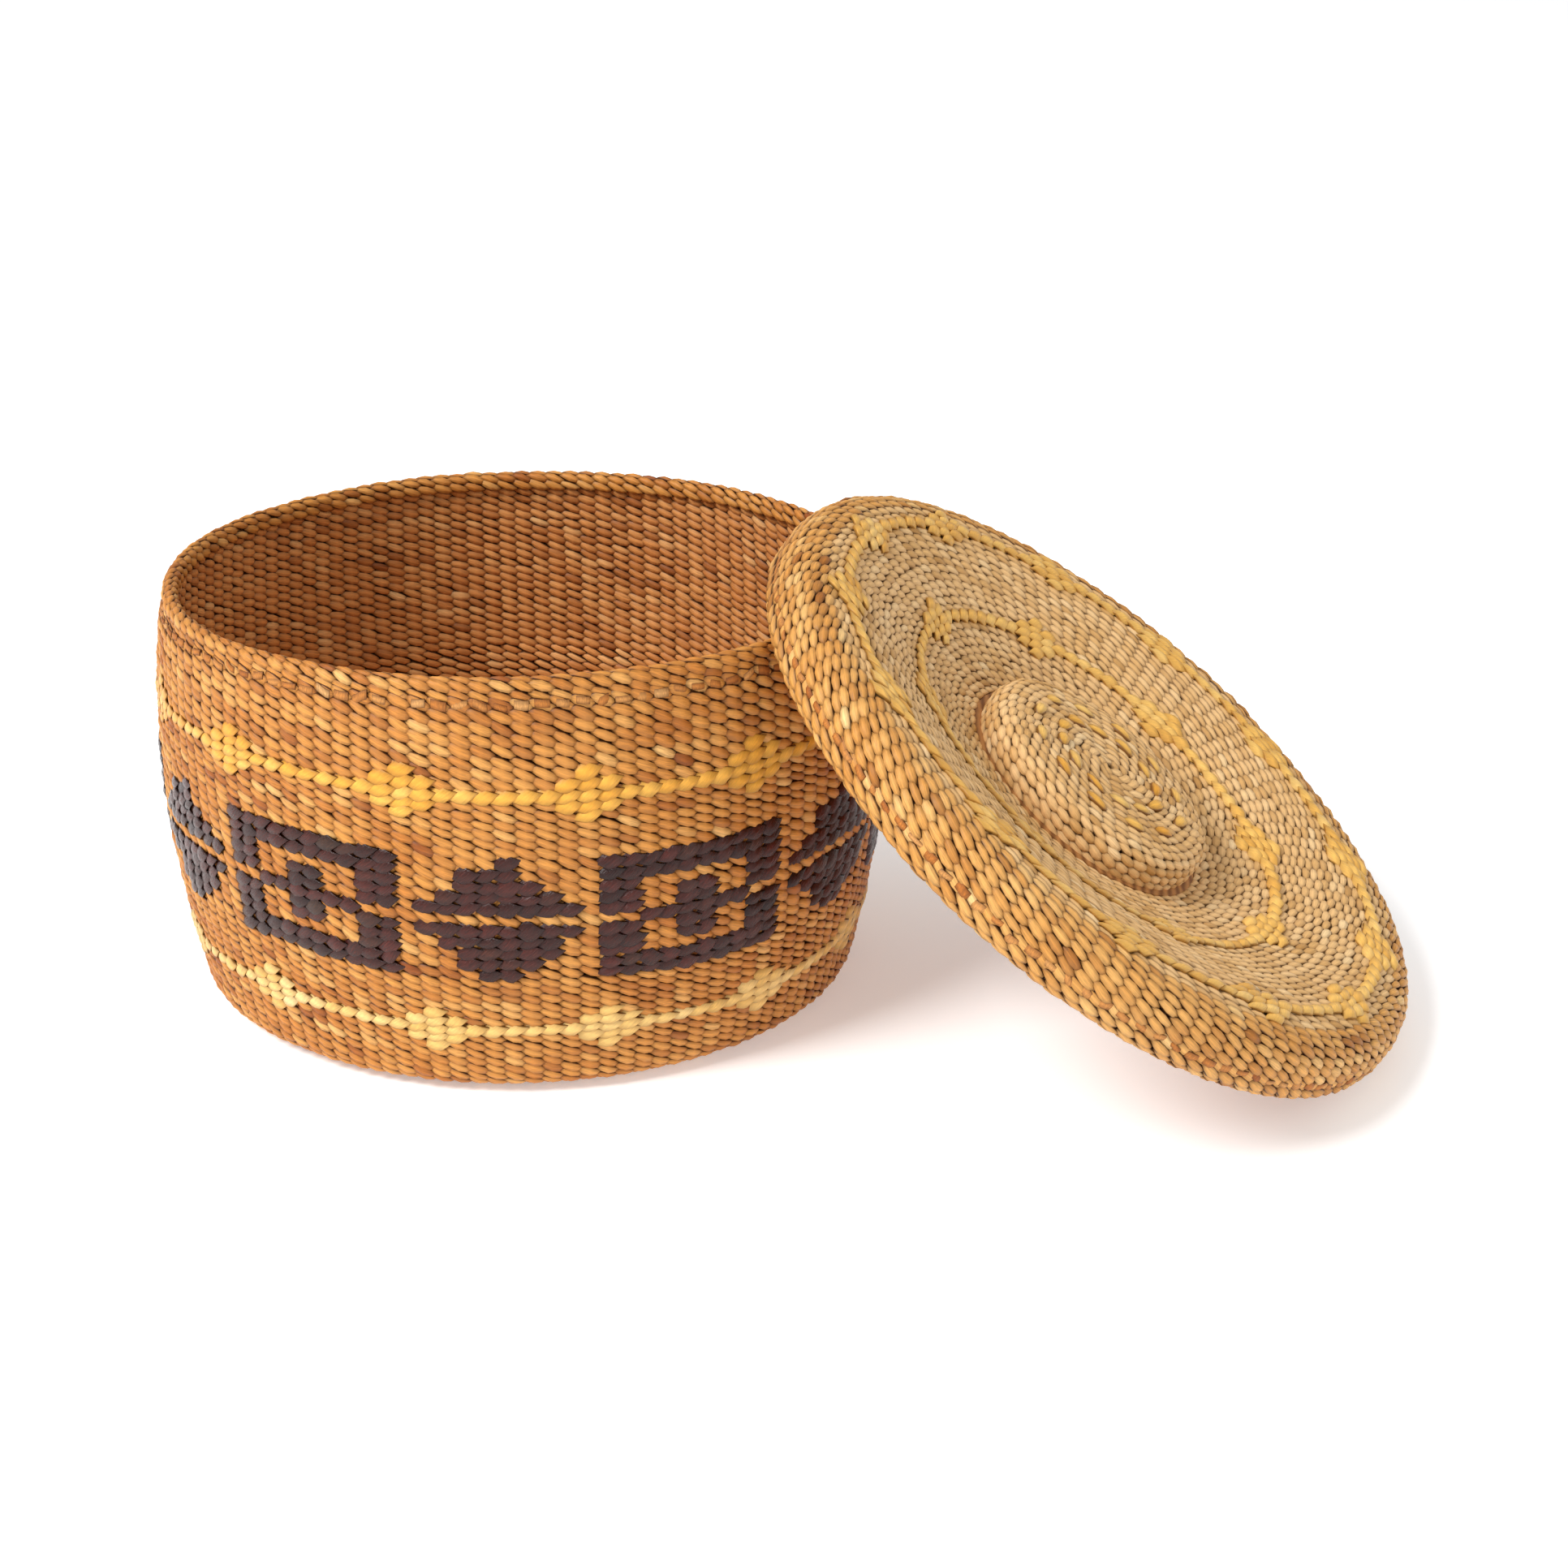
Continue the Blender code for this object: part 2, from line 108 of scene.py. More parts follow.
# %% the strand finish
def strand_finish(name, slot_hexes, patch, rough, streak=0.42, bump=0.00016, gap_shade="#3A1A06", depth=0.95,
                  shine=0.35):
    """A plant-fibre finish: tone per stitch, streaks on the strand, soft patches, painted shade where it
    dives.
    """
    mat = bpy.data.materials.new(name)
    mat.use_nodes = True
    shader = mat.node_tree.nodes["Principled BSDF"]
    tone = node(mat, "ShaderNodeAttribute", attribute_name="tone")
    ramp = node(mat, "ShaderNodeValToRGB", {0: tone.outputs["Fac"]})
    stops = ramp.color_ramp.elements
    while len(stops) < len(slot_hexes):
        stops.new(0.5)
    for k, code in enumerate(slot_hexes):
        stops[k].position = k / (len(slot_hexes) - 1)
        stops[k].color = paint(code)
    # streaks: on a root stitch about 0.3 mm across the strand and 3 to 4 mm along it
    strand = node(mat, "ShaderNodeAttribute", attribute_name="strand")
    fibre = node(mat, "ShaderNodeTexNoise", {"Vector": strand.outputs["Vector"]},
                 {"Scale": 1.0, "Detail": 4.0, "Roughness": 0.62})
    shade = node(mat, "ShaderNodeMapRange", {0: fibre.outputs[0]},
                 {1: 0.30, 2: 0.72, 3: 1 - streak, 4: 1 + streak * 0.35})
    streaked = node(mat, "ShaderNodeVectorMath", {0: ramp.outputs[0], 1: shade.outputs[0]},
                    operation="MULTIPLY")
    # patches of handling and light, 20 to 40 mm across, on the object's own coordinates
    place = node(mat, "ShaderNodeTexCoord")
    cloud = node(mat, "ShaderNodeTexNoise", {"Vector": place.outputs["Object"]},
                 {"Scale": 34.0, "Detail": 3.0, "Roughness": 0.55})
    amount = node(mat, "ShaderNodeMapRange", {0: cloud.outputs[0]}, {1: 0.42, 2: 0.70, 3: 0.0, 4: 0.45})
    patched = node(mat, "ShaderNodeMix", {0: amount.outputs[0], 6: streaked.outputs[0]}, {7: paint(patch)},
                   data_type="RGBA", blend_type="MIX")
    # painted shade, darkest where a stitch goes down between the warps:
    # "end" is 0 on its crest and 1 at its foot
    end = node(mat, "ShaderNodeAttribute", attribute_name="end")
    gap_shade_mix = node(mat, "ShaderNodeMapRange", {0: end.outputs["Fac"]}, {1: 0.05, 2: 0.52, 3: 0.0, 4: depth})
    coloured = node(mat, "ShaderNodeMix", {0: gap_shade_mix.outputs[0], 6: patched.outputs[2]}, {7: paint(gap_shade)},
                    data_type="RGBA", blend_type="MIX")
    gloss = node(mat, "ShaderNodeMapRange", {0: fibre.outputs[0]},
                 {1: 0.3, 2: 0.7, 3: rough - 0.07, 4: rough + 0.12})
    raised = node(mat, "ShaderNodeBump", {"Height": fibre.outputs[0]}, {"Strength": 0.7, "Distance": bump})
    results = {"Base Color": coloured.outputs[2], "Roughness": gloss.outputs[0], "Normal": raised.outputs[0]}
    for key, output in results.items():
        mat.node_tree.links.new(output, shader.inputs[key])
    shader.inputs["IOR"].default_value = 1.48
    shader.inputs["Specular IOR Level"].default_value = shine
    return mat


# %% the finishes
# every finish below paints shade into the gaps between its stitches, some in a dark colour and strength of
# their own
# peeled and split spruce root, honey brown: lighter along the crest of a stitch, with painted shade in its
# gaps
ROOT_TAN = strand_finish("split_root_honey", ["#9C4F17", "#CF8134", "#E29946", "#F6BE72"], "#E3A152", 0.50)
# the same root inside, kept from the light, so browner and duller
ROOT_BROWN = strand_finish("split_root_brown", ["#A65E28", "#D98B46", "#ECA35B", "#FCC480"], "#DE9654", 0.55)
# the lid's root, faded and dusty from lying uppermost
ROOT_DUSTY = strand_finish("split_root_faded", ["#C6924F", "#E8B673", "#F6C88A", "#FDDAA4"], "#EFC48C", 0.58,
                           streak=0.26, gap_shade="#5A3A1C", depth=0.75)
# the flange, a little brighter than the lid's top
ROOT_FLANGE = strand_finish("split_root_flange", ["#B06A24", "#DF9A48", "#EEB060", "#FBCF8A"], "#E8B268",
                            0.50)
# the trimmed warp ends, a red-brown inner bark
ROOT_RUST = strand_finish("bark_stub_rust", ["#9C5016", "#C4762C", "#D69550", "#E4AE6E"], "#CB8440", 0.58)
# whole thin root of the warps, barely seen in the gaps
ROOT_WARP = strand_finish("whole_root_warp", ["#8A5A2A", "#A06C36", "#B07A42"], "#8A5A2A", 0.70)
# bear-grass dyed yellow: satin
GRASS_YELLOW = strand_finish("bear_grass_yellow", ["#E0992F", "#EFA93C", "#F7BA50", "#FCCB70"], "#F0AC40",
                             0.40, streak=0.26, gap_shade="#5E340C", depth=0.92)
# the same grass, faded on the lower line
GRASS_PALE = strand_finish("bear_grass_straw", ["#E6B25A", "#F2C26C", "#F8CF80", "#FDDC98"], "#F3C676", 0.42,
                           streak=0.26, gap_shade="#6A4014", depth=0.90)
# the rings on the lid: the same grass, dulled by light and dust
GRASS_LID = strand_finish("bear_grass_faded_gold", ["#E0A244", "#F0B656", "#F9C568", "#FFD482"], "#F2BD60",
                          0.44, streak=0.24, gap_shade="#7A4E1C", depth=0.70)
# grass dyed dark purple-brown: glossy and smooth
GRASS_DARK = strand_finish("bear_grass_dark", ["#2C0E09", "#42180F", "#582118", "#3E2C1C"], "#3A140D", 0.19,
                           streak=0.62, bump=0.00030, gap_shade="#0E0403", depth=0.85, shine=0.38)
for mat in (ROOT_TAN, ROOT_DUSTY, GRASS_YELLOW, GRASS_DARK):
    print("finish", mat.name)

# %% [markdown]
# ## The cloth's outline
#
# A basket is a line turned round an axis. The line starts in the middle of the base, turns the heel
# and climbs the wall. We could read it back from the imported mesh, but that mesh is coarse, so the
# sizes are written here once and the line is sampled every half millimetre with its normals.
# A point of the cloth is then a distance along the line and an angle round the axis.

# %% sizes
RIM_R, HEIGHT = 0.095, 0.113
# height of the widest place, how far it stands out, its way below the rim, the draw-in at the foot,
# and the round of the heel
BELLY_Z, BELLY_OUT, BELLY_DROP, FOOT_IN, HEEL_R = 0.070, 0.003, 0.043, 0.0085, 0.007
CLOTH = 0.0033      # thickness of the cloth, both layers and the warps
SKIN = 0.0010       # how deep the line of a layer lies under its own face
WARPS = 120
# radius over the flange, radius inside it, and height of the lid's shoulder above its edge
LID_R, FLANGE_IN, LID_H = 0.1026, 0.0978, 0.0177
# the dish's lowest place and depth, and the knob's radius and top
DISH_LOW, DISH_DEPTH, KNOB_R, KNOB_TOP = 0.0036, 0.0141, 0.035, 0.0140
OUTER_RING, INNER_RING = 0.0870, 0.0592    # radii of the two yellow rings
RNG = np.random.default_rng(41)


def wall_r(z):
    if z > BELLY_Z:
        return RIM_R + BELLY_OUT * (1 - ((z - BELLY_Z) / BELLY_DROP) ** 2)
    return RIM_R + BELLY_OUT - FOOT_IN * ((BELLY_Z - z) / BELLY_Z) ** 2


def lid_height(r):
    u = max(0.0, min(1.0, (r - KNOB_R) / (OUTER_RING + 0.001 - KNOB_R)))
    return DISH_LOW + DISH_DEPTH * (0.4 * u + 0.6 * u * u * (3 - 2 * u))


# %% outlines with normals
def outline(points, inset, flip=1):
    """A smooth line through (r, z) points, moved in from the face: distance, r, z and normal."""
    pts = np.array(points, float)
    for _ in range(2):
        rounded = np.stack([pts[:-1] * 0.75 + pts[1:] * 0.25, pts[:-1] * 0.25 + pts[1:] * 0.75], 1)
        pts = np.vstack([pts[:1], rounded.reshape(-1, 2), pts[-1:]])
    gone = np.concatenate([[0], np.cumsum(np.hypot(*np.diff(pts, axis=0).T))])
    s = np.arange(0, gone[-1], 0.0005)
    r, z = np.interp(s, gone, pts[:, 0]), np.interp(s, gone, pts[:, 1])
    for _ in range(2):
        r[1:-1] = (r[:-2] + 2 * r[1:-1] + r[2:]) / 4
        z[1:-1] = (z[:-2] + 2 * z[1:-1] + z[2:]) / 4
    dr, dz = np.gradient(r), np.gradient(z)
    size = np.hypot(dr, dz)
    nr, nz = dz / size, -dr / size
    return {"s": s, "r": r - nr * inset, "z": z - nz * inset, "nr": nr * flip, "nz": nz * flip, "turn": flip}


heel_r = wall_r(HEEL_R) - HEEL_R
quarter_turn = np.linspace(0, math.pi / 2, 7)
basket_line = ([(0, 0), (heel_r * 0.5, 0), (heel_r - 0.004, 0)]
               + [(heel_r + HEEL_R * math.sin(a), HEEL_R * (1 - math.cos(a))) for a in quarter_turn]
               + [(wall_r(z), z) for z in np.linspace(0.011, HEIGHT, 26)])
flange_line = [(LID_R - 0.0005, 0.0010), (LID_R - 0.0003, 0.0035), (LID_R, 0.0072), (LID_R - 0.0010, 0.0127),
               (LID_R - 0.0040, 0.0165), (LID_R - 0.0085, LID_H), (0.0900, LID_H)]
dish_line = [(r, lid_height(r)) for r in np.linspace(0.0865, 0.0362, 22)]
knob_line = [(KNOB_R, 0.0030), (0.0352, 0.0062), (KNOB_R, 0.0098), (0.0330, 0.0124), (0.0300, 0.0134),
             (0.0210, 0.0139), (0.0100, KNOB_TOP), (0.0, KNOB_TOP)]
OUTSIDE = outline(basket_line, SKIN)
INSIDE = outline(basket_line, CLOTH - SKIN, -1)
LID_OUT = outline(flange_line + dish_line, SKIN)
LID_UNDER = outline(flange_line + dish_line + [(0.020, DISH_LOW), (0, DISH_LOW)], CLOTH - SKIN, -1)
KNOB = outline(knob_line, SKIN)
print("basket line %.0f mm, lid line %.0f mm" % (OUTSIDE["s"][-1] * 1000, LID_OUT["s"][-1] * 1000))

# %% [markdown]
# ## One stitch
#
# Outside, a stitch looks like a small leaf: it comes up between two warps, lies over one, and goes
# down again. A ball stretched along X already has that outline, so we start from a UV sphere, turn
# its poles to the leaf's tips, cut its hidden half away and close it. With 27 points it can be
# repeated thousands of times.


# %% the leaf
def arrays(bm):
    """The finished bmesh as two arrays, points and triangles, which are quick to copy."""
    bmesh.ops.triangulate(bm, faces=bm.faces[:])
    bmesh.ops.recalc_face_normals(bm, faces=bm.faces[:])
    bm.verts.index_update()
    points = np.array([v.co[:] for v in bm.verts])
    faces = np.array([[v.index for v in f.verts] for f in bm.faces])
    bm.free()
    return points, faces


TAPER = 0.27        # over 0 the leaf narrows faster towards its tips than a ball does
FLAT = 0.55         # under 1 its crest is flatter than a ball's


def leaf(around=8, along=6):
    bm = bmesh.new()
    bmesh.ops.create_uvsphere(bm, u_segments=around, v_segments=along, radius=1)
    bmesh.ops.rotate(bm, verts=bm.verts[:], cent=(0, 0, 0), matrix=Matrix.Rotation(math.pi / 2, 3, "Y"))
    bmesh.ops.delete(bm, geom=[v for v in bm.verts if v.co.z < -0.01], context="VERTS")
    bmesh.ops.holes_fill(bm, edges=[e for e in bm.edges if e.is_boundary], sides=0)
    for v in bm.verts:
        v.co.y *= max(0.0, 1 - v.co.x ** 2) ** TAPER
        v.co.z = max(0.0, v.co.z) ** FLAT
    return arrays(bm)


LEAF = leaf()
SMALL_LEAF = leaf(6, 5)
print("leaf", len(LEAF[0]), "points", len(LEAF[1]), "triangles; small leaf", len(SMALL_LEAF[1]))

# %% [markdown]
# ## One overlay tile and one flat strip
#
# Where grass is wrapped over a stitch it shows as a flat, leaning tile. A cube with bevelled edges,
# cut a few times so that its top can crown and catch the light, is enough. The warps are flat
# strips: the same cube, cut many times along its length so that it can follow the basket's outline.


# %% the tile and the strip
def tile():
    bm = bmesh.new()
    bmesh.ops.create_cube(bm, size=2)
    top_edges = [e for e in bm.edges if min(v.co.z for v in e.verts) > 0]
    bmesh.ops.bevel(bm, geom=top_edges, offset=0.17, segments=2, affect="EDGES", profile=0.5, material=-1)
    for spot, way in ((-0.4, "X"), (0.0, "X"), (0.4, "X"), (0.0, "Y")):
        across = Vector((way == "X", way == "Y", 0))
        whole = bm.verts[:] + bm.edges[:] + bm.faces[:]
        bmesh.ops.bisect_plane(bm, geom=whole, plane_co=across * spot, plane_no=across)
    for v in bm.verts:
        v.co.z = 0.5 * (v.co.z + 1) * (1 - 0.14 * v.co.x ** 2) * (1 - 0.34 * v.co.y ** 2)
    return arrays(bm)


def strip(cuts):
    bm = bmesh.new()
    bmesh.ops.create_cube(bm, size=2)
    long = [e for e in bm.edges if abs(e.verts[0].co.y - e.verts[1].co.y) > 1]
    bmesh.ops.subdivide_edges(bm, edges=long, cuts=cuts)
    return arrays(bm)


TILE, STRIP = tile(), strip(30)
print("tile", len(TILE[1]), "triangles; strip", len(STRIP[1]))

# %% [markdown]
# ## Laying stitches on the cloth
#
# A modifier such as Array could repeat the leaf, but it can't change the count from row to row, nor
# slant and sink each stitch. So numpy copies the leaf's points once for each stitch and bends them
# on to the line: X goes round the axis, Y goes up the cloth, Z goes out of it. Each stitch gets its
# own small changes of size, slant and height, because hand work is never quite even.
#
# A finished row also dips a little as it spirals, and the wall is not quite round. `slack` holds
# those slow bends in one place, so that every layer of the basket follows them together.


# %% slow bends of hand work
def slack(theta, z):
    """How far the basket strays from a true shape: outward and upward, in metres."""
    rise = np.clip(z / HEIGHT, 0, 1)
    out = (rise * (0.0006 * np.sin(2 * theta + 0.7) + 0.0004 * np.sin(3 * theta + 2.0))
           + 0.0003 * np.sin(7 * theta + 60 * z))
    body = np.sin(math.pi * rise)
    lean = np.exp(-(((theta + 2.53 + math.pi) % (2 * math.pi) - math.pi) / 0.55) ** 2)
    sag = np.exp(-(((theta + 1.2 + math.pi) % (2 * math.pi) - math.pi) / 0.6) ** 2)
    up = body * (-0.0015 * sag + 0.0032 * lean
                 + 0.0005 * np.sin(3 * theta + 1.0) + 0.0003 * np.sin(8 * theta))
    return out * np.clip(z / 0.01, 0, 1), up


def level(theta, z):
    """The lid is stiffer: it only ripples slightly."""
    out = 0.0002 * np.sin(5 * theta + 90 * z)
    return out, 0.0003 * np.sin(2 * theta + 0.5) + 0.0002 * np.sin(5 * theta)


# %% courses
def courses(positions, counts, phase=0.0):
    """One line per stitch: angle, distance along the line, share of the turn, row height, row number."""
    rows = []
    for k, (s, n) in enumerate(zip(positions, counts)):
        gap = abs(positions[k] - positions[k - 1]) if k else abs(positions[1] - positions[0])
        angle = phase + 2 * math.pi * (np.arange(n) + 0.5) / n
        same = [np.full(n, value) for value in (s, 1.0 / n, gap, k)]
        rows.append(np.stack([angle] + same, 1))
    return np.vstack(rows)


# %% [markdown]
# ## The weaver
#
# Each setting of `lay` is one habit of the hand:
#
# - reach, high: half a stitch's length and height, as shares of its cell
# - slant, shear: how far its far end drops, and how far its top leans along the row
# - lift, sink: how high its middle arches, and how deep the whole of it sits in the cloth
# - thick, tilt: its thickness, and how much one end lies over its neighbour
# - wild: how uneven the work is; grain: streaks along and across the strand; tone_shift: darker or paler


# %% the weaver
def lay(name, unit, face, cells, mat, body, slot, nodes=(), reach=0.77, high=0.66, slant=0.36, lift=0.0007,
        thick=0.0010, sink=0.55, shear=0.0, tilt=0.0, wild=1.0, bends=slack, place=None, grain=(1.1, 5.5),
        steady=False, scale_thick=None, tone_shift=0.0):
    """Bends one copy of the unit on to the cloth for every cell, joins them and hands the piece over."""
    points, faces = unit
    a, b, c = points.T
    many = len(cells)
    angle, along, width, tall, row = cells.T
    rnd = RNG.normal(size=(6, many)) * wild
    centre_r = np.interp(along, face["s"], face["r"])
    half = reach * width * 2 * math.pi * np.maximum(centre_r, 0.0015) * (1 + 0.04 * rnd[0])
    size = high * tall * (1 + 0.07 * rnd[1])
    drop = (slant + 0.05 * rnd[2])[:, None] * tall[:, None]
    s = (along + 0.04 * tall * rnd[3])[:, None] + size[:, None] * b - drop * np.sin(a * math.pi / 2)
    fat = thick * (1 + 0.12 * rnd[4]) * (1 if scale_thick is None else scale_thick)
    w = lift * (np.cos(a * math.pi / 2) - sink)[None, :] + fat[:, None] * c + tilt * a[None, :]
    r0, z0 = np.interp(s, face["s"], face["r"]), np.interp(s, face["s"], face["z"])
    r = r0 + w * np.interp(s, face["s"], face["nr"])
    z = z0 + w * np.interp(s, face["s"], face["nz"])
    around = np.maximum(r0, 0.6 * centre_r[:, None]) if not steady else np.maximum(r0, 0.004)
    theta = ((angle + 0.015 * width * rnd[5])[:, None]
             + face["turn"] * (half[:, None] * (a + shear * b)) / around)
    out, up = bends(theta, z)
    r, z = r + out, z + up
    spots = np.stack([r * np.cos(theta), r * np.sin(theta), z], -1).reshape(-1, 3)
    if place is not None:
        turn = np.array(place)
        spots = spots @ turn[:3, :3].T + turn[:3, 3]
    tris = (faces[None] + (np.arange(many) * len(points))[:, None, None]).reshape(-1, 3)
    mesh = bpy.data.meshes.new(name)
    mesh.from_pydata(spots, [], tris)
    mesh.shade_smooth()
    tone = (0.48 + 0.18 * RNG.normal(size=many) + 0.06 * np.sin(row * 2.1) + 0.05 * np.sin(3 * angle + row)
            + tone_shift)
    ident = RNG.uniform(0, 90, size=many)[:, None] + np.zeros(len(points))
    # "end" runs from 0 on a stitch's crest to 1 at its foot; the finishes paint shade by it
    fill = {"tone": np.repeat(np.clip(tone, 0, 1), len(points)), "end": np.tile(1 - c / c.max(), many)}
    for key, value in fill.items():
        mesh.attributes.new(key, "FLOAT", "POINT").data.foreach_set("value", value.astype(np.float32))
    strand = np.stack([ident + a * grain[0], b * grain[1] + ident * 0.37, ident * 0.11], -1).reshape(-1)
    threads = mesh.attributes.new("strand", "FLOAT_VECTOR", "POINT")
    threads.data.foreach_set("vector", strand.astype(np.float32))
    mesh.materials.append(mat)
    return hand_over(name, mesh, body, nodes)


def hand_over(name, mesh, body, nodes):
    """Puts the piece in the scene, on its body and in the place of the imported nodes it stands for."""
    obj = bpy.data.objects.new(name, mesh)
    bpy.context.scene.collection.objects.link(obj)
    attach(obj, body)
    if nodes:
        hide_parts(*nodes)
    print("%-28s %7d triangles" % (name, len(mesh.polygons)))
    return obj


# %% [markdown]
# ## Rows of the wall
#
# The dark band is eleven rows high and everything is counted from its middle row. A plain row is
# about 2.5 mm high, and one of the band 3 mm, because the grass wrapped round it makes it thicker.
# The yellow lines fall on the twelfth rows above and below the middle. The columns are three
# degrees apart, one for each of the 120 warps, and start so that a motif's middle falls between two.

# %% wall rows
BAND_Z, BAND_ROW = 0.0515, 0.00305
HALF_BAND, NEAR_ROWS = 5.5, 6
NEAR_ABOVE, FAR_ABOVE = 0.00240, 0.00279
NEAR_BELOW, FAR_BELOW = 0.00232, 0.00243


def height_of_row(k):
    """Band rows first, then six near rows, then the far ones, each kind with its own height."""
    near_row, far_row = (NEAR_ABOVE, FAR_ABOVE) if k > 0 else (NEAR_BELOW, FAR_BELOW)
    beyond = max(0, abs(k) - HALF_BAND)
    near, far = min(beyond, NEAR_ROWS), max(0, beyond - NEAR_ROWS)
    up = min(abs(k), HALF_BAND) * BAND_ROW + near * near_row + far * far_row
    return BAND_Z + math.copysign(up, k)


BOTTOM_ROW, TOP_ROW = -16, 20
row_z = {k: height_of_row(k) for k in range(BOTTOM_ROW, TOP_ROW + 1)}
START_DEGREES = -119.5
START = math.radians(START_DEGREES)


def at_height(z, face=OUTSIDE):
    """Distance along the line where the wall reaches this height."""
    part = (face["z"] > 0.0085) & (face["r"] > 0.07)
    return float(np.interp(z, face["z"][part], face["s"][part]))


def warps_at(r):
    """Warps are added as the base grows, so the inner rows have fewer stitches."""
    for limit, count in ((0.0740, 120), (0.0590, 100), (0.0460, 80), (0.0350, 60), (0.0260, 45), (0.0180, 32),
                         (0.0120, 22), (0.0075, 14), (0.0040, 8)):
        if r > limit:
            return count
    return 5


wall_s = [at_height(row_z[k]) for k in sorted(row_z)]
wall_cells = courses(wall_s, [WARPS] * len(wall_s), START)
wall_k = np.repeat(sorted(row_z), WARPS)
column = np.tile(np.arange(WARPS) + 0.5, len(wall_s))
print("wall", len(wall_cells), "stitches")

# %% [markdown]
# ## Charts of the overlay
#
# A basket maker counts the pattern: so many covered stitches in each row. The band repeats a box and
# a diamond six times. Each line carries thirteen stepped crosses. The charts below say for every
# stitch of the wall whether grass covers it.


# %% charts
def beside(columns, middles):
    """Signed distance in columns to the nearest of the evenly spaced middles."""
    gaps = (columns[:, None] - np.array(middles)[None, :] + WARPS / 2) % WARPS - WARPS / 2
    return gaps[np.arange(len(columns)), np.abs(gaps).argmin(1)]


row_from = np.abs(wall_k)
MOTIFS, REPEAT = 6, 20     # repeats of the band, and warps in one
x_box = beside(column, [REPEAT * k for k in range(MOTIFS)])
x_diamond = beside(column, [REPEAT * k + REPEAT // 2 for k in range(MOTIFS)])
in_band = (row_from >= 1) & (row_from <= 5)
aside = np.abs(x_box)
box_cells = in_band & (aside < 5) & ((row_from >= 4) | (aside > 3))
cross_cells = ((row_from <= 2) & (aside < 1)) | ((row_from == 0) & (aside < 3))
# leftmost and rightmost covered column of each row of a diamond, counted from its middle
widest = {1: (-4, 4), 2: (-3, 3), 3: (-2, 2), 4: (-2, 1), 5: (0, 1),
          -1: (-4, 4), -2: (-3, 3), -3: (-2, 3), -4: (-2, 2), -5: (-1, 1)}
left, right = np.array([widest.get(k, (0, 0)) for k in wall_k]).T
diamond_cells = in_band & (x_diamond > left) & (x_diamond < right)
CROSSES, COLUMN_DEGREES = 13, 3


def crossed_line(line_k, first):
    """The stitches of one yellow line, with its stepped crosses set on whole columns from angle `first`."""
    turned = [first + 360 / CROSSES * k - START_DEGREES for k in range(CROSSES)]
    middles = [round(angle / COLUMN_DEGREES - 0.5) + 0.5 for angle in turned]
    x, y = np.abs(beside(column, middles)), np.abs(wall_k - line_k)
    return (y == 0) | ((y == 1) & (x < 1.5)) | ((y == 2) & (x < 0.5))


upper_cells = crossed_line(12, -104)
lower_cells = crossed_line(-12, -101)
covered = box_cells | cross_cells | diamond_cells | upper_cells | lower_cells
print("covered stitches", int(covered.sum()))

# %% [markdown]
# ## The wall's stitches
#
# The outer layer is made in two pieces to keep each mesh a handy size. Under an overlay tile the
# root stitch is still there, only pressed flatter, and a sliver of it can show at the tile's edge.
# The top row is pressed too, because the stubs of the rim lie on it.

# %% outer wall
PRESSED = 0.45
flat_under = np.where(covered | (wall_k == TOP_ROW), PRESSED, 1.0)
halves = {"upper": (wall_k >= 0, ["wall_weft_outer"]), "lower": (wall_k < 0, [])}
for half, (part, nodes) in halves.items():
    lay(f"wall_stitches_{half}", LEAF, OUTSIDE, wall_cells[part], ROOT_TAN, "basket", "root_tan", nodes,
        scale_thick=flat_under[part])

# %% [markdown]
# ## Heel and base
#
# Below the wall the rows go on round the heel and across the base to its middle. Warps were added
# there as the base grew, so the count of stitches falls towards the middle.

# %% heel and base
BASE_ROW = 0.00246
base_s = np.arange(wall_s[0] - BASE_ROW, 0.0015, -BASE_ROW)
base_r = np.interp(base_s, OUTSIDE["s"], OUTSIDE["r"])
base_cells = courses(base_s, [warps_at(r) for r in base_r], START)
on_base = np.interp(base_cells[:, 1], OUTSIDE["s"], OUTSIDE["z"]) < 0.0022
lay("heel_stitches", LEAF, OUTSIDE, base_cells[~on_base], ROOT_TAN, "basket", "root_tan")
lay("base_stitches_outside", SMALL_LEAF, OUTSIDE, base_cells[on_base], ROOT_TAN, "basket", "root_tan",
    ["base_weft_outer"], thick=0.0006)

# %% [markdown]
# ## Inside
#
# Seen from inside the stitches slant the same way, because twining looks alike from both faces. The
# root is browner there.

# %% inside wall and base
inside_s = [at_height(z, INSIDE) for z in np.arange(0.0125, 0.1095, 0.00255)]
inside_cells = courses(inside_s, [WARPS] * len(inside_s), START)
high_part = inside_cells[:, 4] >= 18    # the rows low down are seldom seen, so they take the small leaf
lay("inside_stitches_upper", LEAF, INSIDE, inside_cells[high_part], ROOT_BROWN, "basket", "root_brown",
    ["wall_weft_inner"])
lay("inside_stitches_lower", SMALL_LEAF, INSIDE, inside_cells[~high_part], ROOT_BROWN, "basket", "root_brown")
floor_s = np.arange(inside_s[0] - 0.0024, 0.0015, -BASE_ROW)
floor_r = np.interp(floor_s, INSIDE["s"], INSIDE["r"])
floor_cells = courses(floor_s, [warps_at(r + 0.002) for r in floor_r], START)
lay("base_stitches_inside", SMALL_LEAF, INSIDE, floor_cells, ROOT_BROWN, "basket", "root_brown",
    ["base_weft_inner"])

# %% [markdown]
# ## Warps
#
# A warp is a thin flat root. It lies between the two layers and can only be seen through the gaps,
# but without it the light would fall through the cloth.

# %% warps of the basket
MIDDLE = outline(basket_line, CLOTH / 2)
HALF_WARP = 0.0010         # half a warp's width


